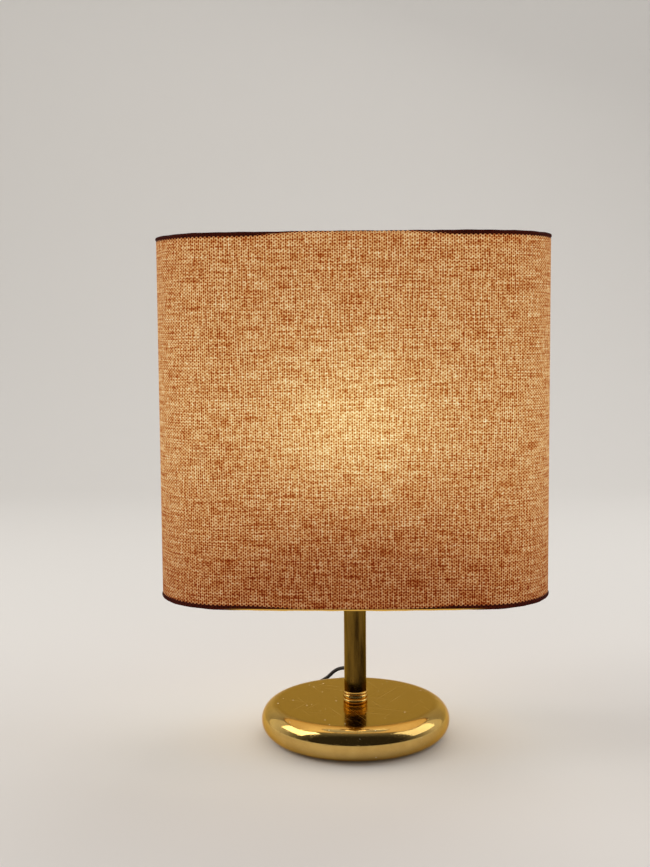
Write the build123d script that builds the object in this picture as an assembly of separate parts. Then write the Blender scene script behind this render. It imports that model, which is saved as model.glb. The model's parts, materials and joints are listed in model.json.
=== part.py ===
from build123d import *
import math
import os

# Table lamp: brass pillow base, tube column, turn-knob socket, harp and oblong drum shade.
# Millimetres, +Z up, front at -Y. The origin is under the middle of the base.

# Base: a spun shell with a full round edge, turned in underneath, on a felt pad
base_radius = 85.0
edge_radius = 15.0
base_lift = 1.0
shell_wall = 1.2
rim_width = 8.0
felt_gap = 0.5
cover_thickness = 1.0
cover_overlap = 5.0
weight_radius = 60.0
weight_bore_radius = 26.0
weight_thickness = 12.0

# Threaded rod that ties base, column and socket together
rod_radius = 5.0
rod_bore_radius = 3.5
rod_proud = 3.0
washer_radius = 20.0
washer_thickness = 1.5
nut_flats = 16.0
nut_thickness = 5.0
saddle_nut_thickness = 3.0

# Column and its beaded collar
tube_radius = 10.0
tube_wall = 1.0
tube_length = 144.0
collar_bead = 1.0
collar_core_share = 0.4
bead_heights = (2.4, 3.8, 3.0)
groove_height = 0.4
cap_overhang = 1.5
cap_height = 6.0
spigot_length = 6.0

# Harp, its saddle and sliding ferrules
saddle_half_span = 29.0
saddle_width = 12.0
saddle_thickness = 1.6
saddle_arm_height = 14.0
stub_length = 10.0
harp_wire_radius = 2.25
harp_straight = 33.0
harp_half_width = 54.0
harp_waist_height = 54.0
harp_side_height = 80.0
harp_shoulder_height = 52.0
harp_top_half = 24.0
harp_bend_radius = 40.0
harp_top_bend_radius = 20.0
ferrule_length = 16.0
ferrule_wall = 2.2
stud_hub_radius = 6.5
stud_hub_below = 5.0
stud_hub_above = 7.0
stud_radius = 3.2
stud_length = 12.0

# Turn-knob socket
socket_hub_radius = 7.2
socket_hub_height = 5.0
socket_radius = 17.0
socket_cap_wall = 0.8
socket_flare_height = 7.0
socket_flare_share = 0.4
socket_cap_rim = 7.0
socket_shell_wall = 0.6
socket_shell_length = 50.0
socket_bead = 0.8
socket_bead_height = 2.0
liner_wall = 0.9
liner_inset = 1.0
insert_length = 22.0
insert_drop = 1.6
screw_shell_wall = 0.4
screw_shell_length = 24.0
screw_flange = 5.0
contact_width = 5.0
contact_length = 11.0
contact_thickness = 0.5
contact_rise = 0.7
contact_tip_radius = 2.2
screw_head_radius = 3.0
screw_head_height = 1.8
screw_shank_radius = 1.6
screw_shank_length = 6.0
screw_slot_width = 0.8
screw_spacing = 18.0
knob_drop = 9.0
stem_radius = 2.2
stem_depth = 9.0
stem_reach = 26.0
knob_radius = 6.5
knob_length = 13.0
knob_socket_depth = 6.0
knob_flutes = 10
flute_radius = 1.1

# Bulb with a 26 mm screw cap
bulb_radius = 30.0
bulb_wall = 0.8
bulb_neck_radius = 12.0
bulb_neck_length = 7.0
bulb_shoulder_radius = 38.0
bulb_cap_radius = 13.0
bulb_cap_length = 25.0
bulb_cap_ribs = 5
bulb_rib_depth = 0.5
bulb_rib_share = 0.75
bulb_neck_seat = 4.0
insulator_height = 2.4
bulb_tip_radius = 4.5
bulb_tip_height = 1.2
stem_glass_radius = 4.0
stem_glass_height = 34.0
support_radius = 0.5
support_spread = 12.0
support_rise = 14.0
filament_radius = 0.8

# Shade: straight-sided oblong drum with a slightly bowed front and back
shade_half_width = 169.0
shade_half_depth = 92.5
shade_bow_radius = 1400.0
shade_corner_radius = 68.0
shade_height = 310.0
spider_recess = 12.9
fabric_thickness = 0.8
liner_thickness = 0.5
glue_gap = 0.05
hem_thickness = 0.6
hem_height = 7.0
hem_lip = 1.8
seam_width = 12.0
seam_thickness = 0.5
ring_wire_radius = 1.5
spider_wire_radius = 1.6
spider_hub_radius = 11.0
spider_hub_thickness = 2.0
spider_weld = 2.5
spider_ramp = 16.0
spider_landing = 6.0
spider_bend_radius = 8.0

# Finial on the harp stud
finial_foot_radius = 6.0
finial_foot_height = 3.0
finial_foot_bulge = 0.4
finial_neck_radius = 4.6
finial_neck_height = 5.0
finial_ball_radius = 5.2

# Cord, its strain relief, the coil that it is put away in and the plug
cord_diameter = 3.6
cord_bend_share = 0.45
gap_samples = 1500
exit_tilt = 8.0
relief_length = 24.0
relief_root_radius = 4.2
relief_tip_radius = 2.6
relief_flange_radius = 6.0
relief_flange_thickness = 2.0
relief_inner_radius = 5.5
relief_inner_start = 2.5
relief_inner_end = 4.4
relief_grooves = 4
relief_groove_width = 1.2
relief_groove_depth = 0.6
coil_radius = 33.0
coil_center_x = -6.0
coil_standoff = 0.2
coil_turn_gap = 0.15
coil_layer_gap = 0.6
coil_halves_in = 13
coil_halves_out = 10
tie_thickness = 0.6
tie_width = 5.0
tie_gap = 0.3
tie_side_gap = 1.2
plug_boot_length = 9.0
plug_boot_radius = 4.2
plug_length = 17.0
plug_width = 24.0
plug_height = 13.5
plug_round = 3.0
blade_length = 16.0
blade_width = 6.3
blade_thickness = 1.5
blade_spacing = 12.7
blade_seat = 5.0

# Clearances
fit_gap = 0.05
rod_gap = 0.25
slide_gap = 0.08
thread_gap = 0.3
liner_gap = 0.1
insert_gap = 0.2


def turned(*points):
    outline = make_face(Polyline(*points, close=True))
    return revolve(Plane.XZ * outline, Axis.Z)


def turned_edges(*edges):
    return revolve(Plane.XZ * make_face(list(edges)), Axis.Z)


def sleeve(inner, outer, bottom, top):
    return turned((inner, bottom), (outer, bottom), (outer, top), (inner, top))


def hex_nut(flats, bore, bottom, height):
    outline = RegularPolygon(flats / 2, 6, major_radius=False) - Circle(bore)
    return Pos(0, 0, bottom) * extrude(outline, height)


def wire_along(path, radius):
    start = Plane(origin=path @ 0, z_dir=path % 0)
    return sweep(start * Circle(radius), path=path)


# Heights that stack from the floor up
base_top = base_lift + 2 * edge_radius
edge_ring_radius = base_radius - edge_radius
edge_height = base_lift + edge_radius
shell_inside_top = base_top - shell_wall
rim_radius = edge_ring_radius - rim_width
cover_bottom = base_lift + shell_wall
washer_bottom = shell_inside_top - washer_thickness
rod_nut_bottom = washer_bottom - nut_thickness
rod_bottom = rod_nut_bottom - rod_proud
column_top = base_top + tube_length
saddle_bottom = column_top + cap_height
saddle_top = saddle_bottom + saddle_thickness
socket_bottom = saddle_top + saddle_nut_thickness
rod_top = socket_bottom + socket_hub_height
rod_hole = rod_radius + rod_gap

# Where the cord leaves the rear of the base
exit_angle = math.radians(exit_tilt)
exit_direction = Vector(0, math.cos(exit_angle), math.sin(exit_angle))
exit_point = Vector(0, edge_ring_radius, edge_height) + exit_direction * edge_radius
exit_plane = Plane(origin=exit_point, x_dir=(1, 0, 0), z_dir=exit_direction)
relief_tip = exit_point + exit_direction * relief_length


def make_base_shell():
    middle = (edge_ring_radius, edge_height)
    inside = edge_radius - shell_wall
    shell = turned_edges(
        Line((rod_hole, base_top), (edge_ring_radius, base_top)),
        CenterArc(middle, edge_radius, 90, -180),
        Line((edge_ring_radius, base_lift), (rim_radius, base_lift)),
        Line((rim_radius, base_lift), (rim_radius, cover_bottom)),
        Line((rim_radius, cover_bottom), (edge_ring_radius, cover_bottom)),
        CenterArc(middle, inside, -90, 180),
        Line((edge_ring_radius, shell_inside_top), (rod_hole, shell_inside_top)),
        Line((rod_hole, shell_inside_top), (rod_hole, base_top)),
    )
    cord_hole = exit_plane * Cylinder(relief_root_radius + fit_gap, 2 * relief_inner_end)
    return shell - cord_hole


def make_column_collar():
    bore = tube_radius + fit_gap
    core = tube_radius + collar_bead * collar_core_share
    crest = tube_radius + collar_bead
    edges = [Line((bore, base_top), (core, base_top))]
    level = base_top
    for height in reversed(bead_heights):
        edges.append(
            ThreePointArc((core, level), (crest, level + height / 2), (core, level + height))
        )
        level += height
        edges.append(Line((core, level), (core, level + groove_height)))
        level += groove_height
    edges.append(Line((core, level), (bore, level)))
    edges.append(Line((bore, level), (bore, base_top)))
    return turned_edges(*edges)


def make_column_cap():
    bore = rod_hole
    spigot = tube_radius - tube_wall - fit_gap
    crown = tube_radius + cap_overhang
    round_over = cap_height / 3
    cap_top = column_top + cap_height
    return turned(
        (bore, column_top - spigot_length),
        (spigot, column_top - spigot_length),
        (spigot, column_top),
        (crown, column_top),
        (crown, cap_top - round_over),
        (crown - round_over, cap_top),
        (bore, cap_top),
    )


# Saddle and harp share the span of the two stubs
arm_top = saddle_top + saddle_arm_height
stub_top = arm_top + stub_length
harp_waist = stub_top + harp_straight
harp_widest = harp_waist + harp_waist_height
harp_shoulder = harp_widest + harp_side_height
harp_top = harp_shoulder + harp_shoulder_height
spider_seat = harp_top + stud_hub_above


def make_harp_saddle():
    span = 2 * saddle_half_span + saddle_thickness
    body = Pos(0, 0, saddle_bottom + saddle_thickness / 2) * Box(span, saddle_width, saddle_thickness)
    for side in (-1, 1):
        arm_middle = (saddle_bottom + arm_top) / 2
        arm = Pos(side * saddle_half_span, 0, arm_middle) * Box(
            saddle_thickness, saddle_width, arm_top - saddle_bottom
        )
        foot = Pos(side * saddle_half_span, 0, arm_top - harp_wire_radius) * Box(
            2 * harp_wire_radius, saddle_width / 2, 2 * harp_wire_radius
        )
        stub_middle = (arm_top + stub_top) / 2
        stub = Pos(side * saddle_half_span, 0, stub_middle) * Cylinder(harp_wire_radius, stub_length)
        body = body + arm + foot + stub
    return body - Pos(0, 0, saddle_bottom) * Cylinder(rod_hole, 4 * saddle_thickness)


def make_harp_wire():
    right = [
        (saddle_half_span, stub_top),
        (saddle_half_span, harp_waist),
        (harp_half_width, harp_widest),
        (harp_half_width, harp_shoulder),
        (harp_top_half, harp_top),
    ]
    left = [(-x, z) for x, z in reversed(right)]
    side_bends = [harp_bend_radius] * 3 + [harp_top_bend_radius]
    path = Plane.XZ * FilletPolyline(*right, *left, radius=side_bends + side_bends[::-1])
    return wire_along(path, harp_wire_radius)


def make_harp_stud():
    hub = Pos(0, 0, (harp_top - stud_hub_below + spider_seat) / 2) * Cylinder(
        stud_hub_radius, stud_hub_below + stud_hub_above
    )
    cross_bore = Pos(0, 0, harp_top) * Rot(0, 90, 0) * Cylinder(
        harp_wire_radius + fit_gap, 4 * stud_hub_radius
    )
    stud = Pos(0, 0, spider_seat + stud_length / 2) * Cylinder(stud_radius, stud_length)
    return hub - cross_bore + stud


def make_harp_ferrule(side):
    bore = harp_wire_radius + slide_gap
    ferrule = sleeve(bore, bore + ferrule_wall, arm_top, arm_top + ferrule_length)
    return Pos(side * saddle_half_span, 0, 0) * ferrule


# Socket levels and radii
cup_floor = socket_bottom + socket_hub_height
cup_wide = cup_floor + socket_flare_height
cup_top = cup_wide + socket_cap_rim
cup_inside = socket_radius - socket_cap_wall
socket_outside = cup_inside - liner_gap
socket_inside = socket_outside - socket_shell_wall
socket_shell_bottom = cup_wide + socket_cap_wall
socket_shell_top = socket_shell_bottom + socket_shell_length
liner_outside = socket_inside - liner_gap
liner_inside = liner_outside - liner_wall
insert_radius = liner_inside - insert_gap
insert_bottom = socket_shell_bottom + insert_drop
insert_top = insert_bottom + insert_length
knob_height = insert_top - knob_drop
screw_shell_inside = bulb_cap_radius + thread_gap
screw_shell_outside = screw_shell_inside + screw_shell_wall
bulb_tip = insert_top + contact_thickness + contact_rise + thread_gap


def knob_axis_cylinder(radius, near, far):
    middle = -(near + far) / 2
    return Pos(0, middle, knob_height) * Rot(90, 0, 0) * Cylinder(radius, far - near)


def make_socket_cap():
    bore = rod_radius + fit_gap
    mid_radius = (socket_hub_radius + socket_radius) / 2
    mid_level = cup_floor + socket_flare_height * socket_flare_share
    return turned(
        (bore, socket_bottom),
        (socket_hub_radius, socket_bottom),
        (socket_hub_radius, cup_floor - socket_cap_wall),
        (mid_radius, mid_level - socket_cap_wall),
        (socket_radius, cup_wide - socket_cap_wall),
        (socket_radius, cup_top),
        (cup_inside, cup_top),
        (cup_inside, cup_wide),
        (mid_radius - socket_cap_wall, mid_level),
        (socket_hub_radius - socket_cap_wall, cup_floor),
        (bore, cup_floor),
    )


def make_socket_shell():
    bead_bottom = socket_shell_top - socket_bead_height
    shell = turned_edges(
        Line((socket_inside, socket_shell_bottom), (socket_outside, socket_shell_bottom)),
        Line((socket_outside, socket_shell_bottom), (socket_outside, bead_bottom)),
        ThreePointArc(
            (socket_outside, bead_bottom),
            (socket_outside + socket_bead, socket_shell_top - socket_bead_height / 2),
            (socket_outside, socket_shell_top),
        ),
        Line((socket_outside, socket_shell_top), (socket_inside, socket_shell_top)),
        Line((socket_inside, socket_shell_top), (socket_inside, socket_shell_bottom)),
    )
    return shell - knob_axis_cylinder(2 * stem_radius, 0, 2 * socket_radius)


def make_socket_liner():
    bottom = socket_shell_bottom + liner_inset
    tube = sleeve(liner_inside, liner_outside, bottom, socket_shell_top - liner_inset)
    return tube - knob_axis_cylinder(2 * stem_radius, 0, 2 * socket_radius)


def terminal_places():
    return [Pos(side * screw_spacing / 2, 0, insert_bottom) for side in (-1, 1)]


def make_socket_body():
    body = Pos(0, 0, (insert_bottom + insert_top) / 2) * Cylinder(insert_radius, insert_length)
    stem_end = insert_radius - stem_depth - fit_gap
    body = body - knob_axis_cylinder(stem_radius + fit_gap, stem_end, 2 * insert_radius)
    for place in terminal_places():
        body = body - place * Cylinder(screw_shank_radius + fit_gap, 2 * (screw_shank_length + fit_gap))
    return body


def make_screw_shell():
    flange_inside = screw_shell_inside - screw_flange
    shell_top = insert_top + screw_shell_length
    return turned(
        (flange_inside, insert_top),
        (screw_shell_outside, insert_top),
        (screw_shell_outside, shell_top),
        (screw_shell_inside, shell_top),
        (screw_shell_inside, insert_top + screw_shell_wall),
        (flange_inside, insert_top + screw_shell_wall),
    )


def make_centre_contact():
    strip_middle = insert_top + contact_thickness / 2
    strip = Pos(0, 0, strip_middle) * Box(contact_width, contact_length, contact_thickness)
    tip = Pos(0, 0, insert_top + (contact_thickness + contact_rise) / 2) * Cylinder(
        contact_tip_radius, contact_thickness + contact_rise
    )
    return strip + tip


def make_terminal_screws():
    screws = []
    for place in terminal_places():
        head = Pos(0, 0, -screw_head_height / 2) * Cylinder(screw_head_radius, screw_head_height)
        slot = Pos(0, 0, -screw_head_height) * Box(
            3 * screw_head_radius, screw_slot_width, screw_head_height
        )
        shank = Pos(0, 0, screw_shank_length / 2) * Cylinder(screw_shank_radius, screw_shank_length)
        screws.append(place * (head - slot + shank))
    return Compound(children=screws)


# The stem ends inside the knob
knob_near = socket_radius + stem_reach - stem_depth - knob_socket_depth
stem_near = insert_radius - stem_depth
stem_far = knob_near + knob_socket_depth


def make_switch_stem():
    return knob_axis_cylinder(stem_radius, stem_near, stem_far)


def make_switch_knob():
    knob = knob_axis_cylinder(knob_radius, knob_near, knob_near + knob_length)
    knob = chamfer(knob.edges().filter_by(GeomType.CIRCLE), knob_radius / 6)
    for index in range(knob_flutes):
        turn = 2 * math.pi * index / knob_flutes
        flute = Pos(knob_radius * math.cos(turn), 0, knob_radius * math.sin(turn)) * knob_axis_cylinder(
            flute_radius, knob_near - flute_radius, knob_near + 2 * knob_length
        )
        knob = knob - flute
    return knob - knob_axis_cylinder(stem_radius + fit_gap, knob_near - fit_gap, stem_far + fit_gap)


# Bulb levels: solder tip, insulator, screw cap, neck, globe
insulator_bottom = bulb_tip + bulb_tip_height
bulb_cap_bottom = insulator_bottom + insulator_height
bulb_cap_top = bulb_cap_bottom + bulb_cap_length
glass_bottom = bulb_cap_top - bulb_neck_seat
neck_top = glass_bottom + bulb_neck_length
cap_inside = bulb_neck_radius + fit_gap
shoulder_center = bulb_neck_radius + bulb_shoulder_radius
globe_rise = math.sqrt((bulb_shoulder_radius + bulb_radius) ** 2 - shoulder_center**2)
globe_center = neck_top + globe_rise


def glass_profile(inset):
    share = (bulb_radius - inset) / (bulb_radius + bulb_shoulder_radius)
    tangent = (shoulder_center * share, globe_center - globe_rise * share)
    bend = math.atan2(globe_rise, shoulder_center)
    shoulder_inset = bulb_shoulder_radius + inset
    half_bend = (
        shoulder_center - shoulder_inset * math.cos(bend / 2),
        neck_top + shoulder_inset * math.sin(bend / 2),
    )
    neck = (bulb_neck_radius - inset, neck_top)
    globe_turn = (math.pi / 2 - bend) / 2
    globe_radius = bulb_radius - inset
    globe_mid = (globe_radius * math.cos(globe_turn), globe_center + globe_radius * math.sin(globe_turn))
    crown = (0, globe_center + globe_radius)
    return neck, half_bend, tangent, globe_mid, crown


def make_bulb_glass():
    neck, half_bend, tangent, globe_mid, crown = glass_profile(0)
    neck_in, half_bend_in, tangent_in, globe_mid_in, crown_in = glass_profile(bulb_wall)
    return turned_edges(
        Line((neck_in[0], glass_bottom), (neck[0], glass_bottom)),
        Line((neck[0], glass_bottom), neck),
        ThreePointArc(neck, half_bend, tangent),
        ThreePointArc(tangent, globe_mid, crown),
        Line(crown, crown_in),
        ThreePointArc(crown_in, globe_mid_in, tangent_in),
        ThreePointArc(tangent_in, half_bend_in, neck_in),
        Line(neck_in, (neck_in[0], glass_bottom)),
    )


def make_bulb_cap():
    root = bulb_cap_radius - bulb_rib_depth
    pitch = bulb_cap_length * bulb_rib_share / bulb_cap_ribs
    edges = [Line((cap_inside, bulb_cap_bottom), (root, bulb_cap_bottom))]
    level = bulb_cap_bottom
    for rib in range(bulb_cap_ribs):
        edges.append(
            ThreePointArc((root, level), (bulb_cap_radius, level + pitch / 2), (root, level + pitch))
        )
        level += pitch
    edges.append(Line((root, level), (root, bulb_cap_top)))
    edges.append(Line((root, bulb_cap_top), (cap_inside, bulb_cap_top)))
    edges.append(Line((cap_inside, bulb_cap_top), (cap_inside, bulb_cap_bottom)))
    return turned_edges(*edges)


def make_bulb_insulator():
    root = bulb_cap_radius - bulb_rib_depth
    return turned(
        (0, insulator_bottom),
        (bulb_tip_radius, insulator_bottom),
        (root, bulb_cap_bottom),
        (0, bulb_cap_bottom),
    )


def make_bulb_contact():
    return Pos(0, 0, bulb_tip + bulb_tip_height / 2) * Cylinder(bulb_tip_radius, bulb_tip_height)


def make_filament_mount():
    flare_top = bulb_cap_bottom + bulb_neck_radius
    stem_top = flare_top + stem_glass_height
    support_top = stem_top + support_rise
    body = turned(
        (0, bulb_cap_bottom),
        (bulb_neck_radius - bulb_wall - insert_gap, bulb_cap_bottom),
        (stem_glass_radius, flare_top),
        (stem_glass_radius, stem_top),
        (0, stem_top),
    )
    for side in (-1, 1):
        foot = (side * stem_glass_radius / 2, stem_top - stem_glass_radius)
        support = Plane.XZ * Polyline(foot, (side * support_spread, support_top))
        body = body + wire_along(support, support_radius)
    coil = Pos(0, 0, support_top) * Rot(0, 90, 0) * Cylinder(filament_radius, 2 * support_spread)
    return body + coil


# Shade outline: bowed front and back, round corners, straight ends. Insets are parallel to it.
shade_top = spider_seat + spider_recess
shade_bottom = shade_top - shade_height
corner_x = shade_half_width - shade_corner_radius
bow_center = shade_bow_radius - shade_half_depth
corner_y = math.sqrt((shade_bow_radius - shade_corner_radius) ** 2 - corner_x**2) - bow_center
bow_angle = math.atan2(corner_x, corner_y + bow_center)
wall_thickness = fabric_thickness + glue_gap + liner_thickness
wall_bottom = shade_bottom + hem_thickness + fit_gap
wall_top = shade_top - hem_thickness - fit_gap


def shade_outline(inset):
    bow = shade_bow_radius - inset
    corner = shade_corner_radius - inset
    half_width = shade_half_width - inset
    half_depth = shade_half_depth - inset
    meet_x = bow * math.sin(bow_angle)
    meet_y = bow * math.cos(bow_angle) - bow_center
    bend = math.pi / 4 - bow_angle / 2
    mid_x = corner_x + corner * math.cos(bend)
    mid_y = corner_y + corner * math.sin(bend)
    return Wire([
        ThreePointArc((-meet_x, -meet_y), (0, -half_depth), (meet_x, -meet_y)),
        ThreePointArc((meet_x, -meet_y), (mid_x, -mid_y), (half_width, -corner_y)),
        Line((half_width, -corner_y), (half_width, corner_y)),
        ThreePointArc((half_width, corner_y), (mid_x, mid_y), (meet_x, meet_y)),
        ThreePointArc((meet_x, meet_y), (0, half_depth), (-meet_x, meet_y)),
        ThreePointArc((-meet_x, meet_y), (-mid_x, mid_y), (-half_width, corner_y)),
        Line((-half_width, corner_y), (-half_width, -corner_y)),
        ThreePointArc((-half_width, -corner_y), (-mid_x, -mid_y), (-meet_x, -meet_y)),
    ])


def shade_band(outer, inner, bottom, top):
    face = Face(shade_outline(outer), [shade_outline(inner)])
    return Pos(0, 0, bottom) * extrude(face, top - bottom)


def make_shade_hem(rim, side):
    outer = -hem_thickness - fit_gap
    inner = wall_thickness + hem_thickness + fit_gap
    lip_end, fold_end, leg_end = (rim + side * reach for reach in (hem_lip, hem_thickness, hem_height))
    lip = shade_band(outer, -fit_gap, min(rim, lip_end), max(rim, lip_end))
    fold = shade_band(outer, inner, min(rim, fold_end), max(rim, fold_end))
    leg = shade_band(wall_thickness + fit_gap, inner, min(rim, leg_end), max(rim, leg_end))
    return lip + fold + leg


def make_shade_seam():
    inset = hem_lip + fit_gap
    strip = shade_band(-fit_gap - seam_thickness, -fit_gap, shade_bottom + inset, shade_top - inset)
    keep = Pos(0, shade_half_depth, (shade_bottom + shade_top) / 2) * Box(
        seam_width, shade_corner_radius, 2 * shade_height
    )
    return strip & keep


ring_inset = wall_thickness + hem_thickness + 2 * fit_gap + ring_wire_radius
top_ring_height = wall_top - ring_wire_radius
bottom_ring_height = wall_bottom + ring_wire_radius


def make_shade_ring(height):
    path = Pos(0, 0, height) * shade_outline(ring_inset)
    return wire_along(path, ring_wire_radius)


def make_shade_spider():
    hub_middle = spider_seat + spider_hub_thickness / 2
    hub = Pos(0, 0, hub_middle) * Cylinder(spider_hub_radius, spider_hub_thickness)
    spider = hub
    for turn in (0, 90, 180, 270):
        reach = shade_half_depth if turn % 180 else shade_half_width
        end = reach - ring_inset - ring_wire_radius - fit_gap
        landing = end - spider_landing
        path = Plane.XZ * FilletPolyline(
            (spider_hub_radius - spider_weld, hub_middle),
            (landing - spider_ramp, hub_middle),
            (landing, top_ring_height),
            (end, top_ring_height),
            radius=spider_bend_radius,
        )
        spider = spider + Rot(0, 0, turn) * wire_along(path, spider_wire_radius)
    return spider - Pos(0, 0, hub_middle) * Cylinder(stud_radius + slide_gap, 4 * spider_hub_thickness)


finial_seat = spider_seat + spider_hub_thickness


def make_finial():
    foot_top = finial_seat + finial_foot_height
    neck_top_level = foot_top + finial_neck_height
    ball_center = neck_top_level + math.sqrt(finial_ball_radius**2 - finial_neck_radius**2)
    bore = stud_radius + slide_gap
    bore_top = spider_seat + stud_length + thread_gap
    return turned_edges(
        Line((bore, finial_seat), (finial_foot_radius, finial_seat)),
        ThreePointArc(
            (finial_foot_radius, finial_seat),
            (finial_foot_radius + finial_foot_bulge, (finial_seat + foot_top) / 2),
            (finial_foot_radius, foot_top),
        ),
        Line((finial_foot_radius, foot_top), (finial_neck_radius, foot_top)),
        Line((finial_neck_radius, foot_top), (finial_neck_radius, neck_top_level)),
        ThreePointArc(
            (finial_neck_radius, neck_top_level),
            (finial_ball_radius, ball_center),
            (0, ball_center + finial_ball_radius),
        ),
        Line((0, ball_center + finial_ball_radius), (0, bore_top)),
        Line((0, bore_top), (bore, bore_top)),
        Line((bore, bore_top), (bore, finial_seat)),
    )


def make_strain_relief():
    taper = relief_length - relief_flange_thickness
    slope = (relief_root_radius - relief_tip_radius) / taper
    points = [
        (0, -relief_inner_end),
        (relief_inner_radius, -relief_inner_end),
        (relief_inner_radius, -relief_inner_start),
        (relief_root_radius, -relief_inner_start),
        (relief_root_radius, fit_gap),
        (relief_flange_radius, fit_gap),
        (relief_flange_radius, relief_flange_thickness),
        (relief_root_radius, relief_flange_thickness),
    ]
    pitch = taper / (relief_grooves + 1)
    for groove in range(1, relief_grooves + 1):
        middle = relief_flange_thickness + groove * pitch
        radius = relief_root_radius - slope * groove * pitch
        for offset, depth in ((-1, 0), (-1, 1), (1, 1), (1, 0)):
            points.append((radius - depth * relief_groove_depth, middle + offset * relief_groove_width / 2))
    points.append((relief_tip_radius, relief_length))
    points.append((0, relief_length))
    return exit_plane * turned(*points)


# Cord: straight runs joined by arcs as large as the runs allow
def cord_path(name, points):
    points = [Vector(*point) for point in points]
    radii = []
    for before, corner, after in zip(points, points[1:], points[2:]):
        turn = math.radians((corner - before).get_angle(after - corner))
        shorter = min((corner - before).length, (after - corner).length)
        radii.append(cord_bend_share * shorter / math.tan(turn / 2))
    print(name, "bend radii", [round(radius, 1) for radius in radii])
    return FilletPolyline(*points, radius=radii)


def cord_tube(name, path):
    tube = wire_along(path, cord_diameter / 2)
    expected = math.pi * (cord_diameter / 2) ** 2 * path.length
    print(name, "length", round(path.length, 1), "volume share", round(tube.volume / expected, 4))
    return tube


coil_pitch = cord_diameter + coil_turn_gap
coil_layer = cord_diameter + coil_layer_gap
coil_low = tie_thickness + tie_gap + cord_diameter / 2
coil_high = coil_low + coil_layer
coil_center_y = base_radius + coil_standoff + coil_radius
coil_inner_radius = coil_radius - coil_pitch * coil_halves_in / 2


def coil_path():
    x = coil_center_x
    point = Vector(x, coil_center_y - coil_radius, coil_low)
    edges = [Line(point - Vector(cord_diameter, 0, 0), point)]
    side = 1

    def half_turn(start, radius):
        east = start + Vector(side * radius, side * radius, 0)
        end = start + Vector(0, side * 2 * radius, 0)
        edges.append(ThreePointArc(start, east, end))
        return end

    for half in range(coil_halves_in):
        point = half_turn(point, coil_radius - half * coil_pitch / 2)
        side = -side
    rise = Vector(0, 0, coil_layer)
    reach = math.sqrt(coil_inner_radius**2 + (coil_layer / 2) ** 2)
    quarter = point + Vector(side * reach, side * coil_inner_radius, 0) + rise / 2
    top = point + Vector(0, side * 2 * coil_inner_radius, 0) + rise
    edges.append(TangentArc(point, quarter, tangent=(side, 0, 0)))
    edges.append(TangentArc(quarter, top, tangent=edges[-1] % 1))
    point = top
    side = -side
    for half in range(coil_halves_out):
        point = half_turn(point, coil_inner_radius + (half + 1) * coil_pitch / 2)
        side = -side
    edges.append(Line(point, point + Vector(cord_diameter, 0, 0)))
    return Wire(edges)


def least_gap(path):
    step = path.length / gap_samples
    skip = int(4 * cord_diameter / step)
    samples = [path @ (index / gap_samples) for index in range(gap_samples + 1)]
    least = min(
        (samples[late] - samples[early]).length
        for early in range(0, gap_samples + 1, 2)
        for late in range(early + skip, gap_samples + 1)
    )
    return least - cord_diameter


coil_route = coil_path()
coil_start = coil_route @ 0
coil_end = coil_route @ 1
lead_points = [
    relief_tip,
    (0, 118.5, 22.8),
    (-4.5, 128.7, 22.5),
    (-12.8, 135.9, 19.5),
    (-24.3, 139.2, 14.2),
    (-38.3, 138.0, 8.5),
    (-52.4, 130.5, 4.5),
    (-62.2, 116.6, 2.8),
    (-63.6, 100.7, 2.7),
    (-56.6, 88.6, 2.7),
    (-43.9, 83.2, 2.7),
    (-25.0, coil_start.Y, coil_low),
    coil_start,
]
plug_entry = Vector(24.0, 91.5, plug_height / 2)
tail_points = [
    coil_end,
    coil_end + Vector(8.9, 0, 0),
    plug_entry - Vector(8.5, 0, 0),
    plug_entry,
]
inner_lead_start = exit_point - exit_direction * relief_inner_end
inner_lead_points = [
    inner_lead_start,
    inner_lead_start - exit_direction * 24.0,
    (0, 28.0, 8.5),
    (0, 0, 7.0),
    (0, 0, insert_bottom),
]


def make_coil_tie():
    inner = coil_inner_radius - cord_diameter / 2 - tie_side_gap
    outer = coil_radius + cord_diameter / 2 + tie_side_gap
    low = coil_low - cord_diameter / 2 - tie_gap
    high = coil_high + cord_diameter / 2 + tie_gap
    window = Rectangle(outer - inner, high - low)
    band = Rectangle(outer - inner + 2 * tie_thickness, high - low + 2 * tie_thickness)
    place = Pos(coil_center_x - (inner + outer) / 2, coil_center_y + tie_width / 2, (low + high) / 2)
    return place * extrude(Plane.XZ * (band - window), tie_width)


def make_plug_body():
    start = plug_entry.X
    body_start = start + plug_boot_length
    body_middle = (body_start + plug_length / 2, plug_entry.Y, plug_height / 2)
    body = Pos(*body_middle) * Box(plug_length, plug_width, plug_height)
    body = fillet(body.edges().filter_by(Axis.X), plug_round)
    body = chamfer(body.faces().sort_by(Axis.X)[0].edges(), plug_round / 2)
    boot = Plane(origin=plug_entry, z_dir=(1, 0, 0)) * turned(
        (0, 0),
        (cord_diameter / 2 + tie_thickness, 0),
        (plug_boot_radius, plug_boot_length),
        (0, plug_boot_length),
    )
    return body + boot - plug_blades(fit_gap)


def plug_blades(gap):
    face = plug_entry.X + plug_boot_length + plug_length
    blades = []
    for side in (-1, 1):
        length = blade_length + blade_seat + gap
        middle = face + blade_length - length / 2
        blade = Pos(middle, plug_entry.Y + side * blade_spacing / 2, plug_height / 2) * Box(
            length, blade_thickness + 2 * gap, blade_width + 2 * gap
        )
        blades.append(blade)
    return Compound(children=blades)


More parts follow.
